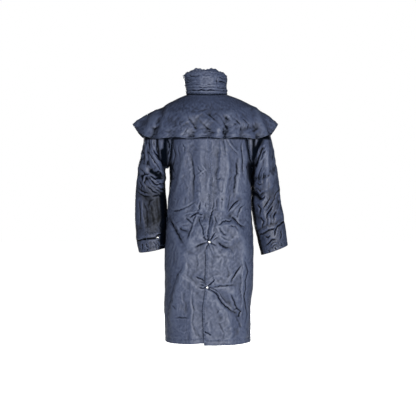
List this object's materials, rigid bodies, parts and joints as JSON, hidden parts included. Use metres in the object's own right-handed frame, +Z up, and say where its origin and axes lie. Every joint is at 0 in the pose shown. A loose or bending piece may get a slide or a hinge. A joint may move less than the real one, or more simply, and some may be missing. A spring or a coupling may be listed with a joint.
{
  "type": "hooded raincoat",
  "caption": "Long hooded raincoat with a shoulder cape, lapped back vent, snapped front and cuffs, its hood rolled into a stand collar; worn shape, hollow.",
  "frame": {"origin": "middle of the neck seam at the height of the nape, where the wearer's neck and shoulders hold the coat up", "axes": "+Z up, towards the collar; -Y out of the wearer's chest, so +Y out of the back; +X to the wearer's left"},
  "size_m": [0.748, 0.3337, 1.2921],
  "materials": {
    "coated_cloth": "coated navy nylon, soft sheen",
    "snap_metal": "pressed nickel caps, polished"
  },
  "bodies": {
    "root": {"back_left": "coated_cloth", "back_right": "coated_cloth", "front_left": "coated_cloth", "front_right": "coated_cloth", "sleeve_left": "coated_cloth", "sleeve_right": "coated_cloth", "cuff_tab_left": "coated_cloth", "cuff_tab_right": "coated_cloth", "cape": "coated_cloth", "collar_outer": "coated_cloth", "collar_inner": "coated_cloth", "packed_hood": "coated_cloth", "vent_snap_1": "snap_metal", "vent_snap_2": "snap_metal", "cuff_snap_left": "snap_metal", "cuff_snap_right": "snap_metal", "front_snap_1": "snap_metal", "front_snap_2": "snap_metal", "front_snap_3": "snap_metal", "front_snap_4": "snap_metal", "front_snap_5": "snap_metal", "front_snap_6": "snap_metal"}
  },
  "joints": []
}
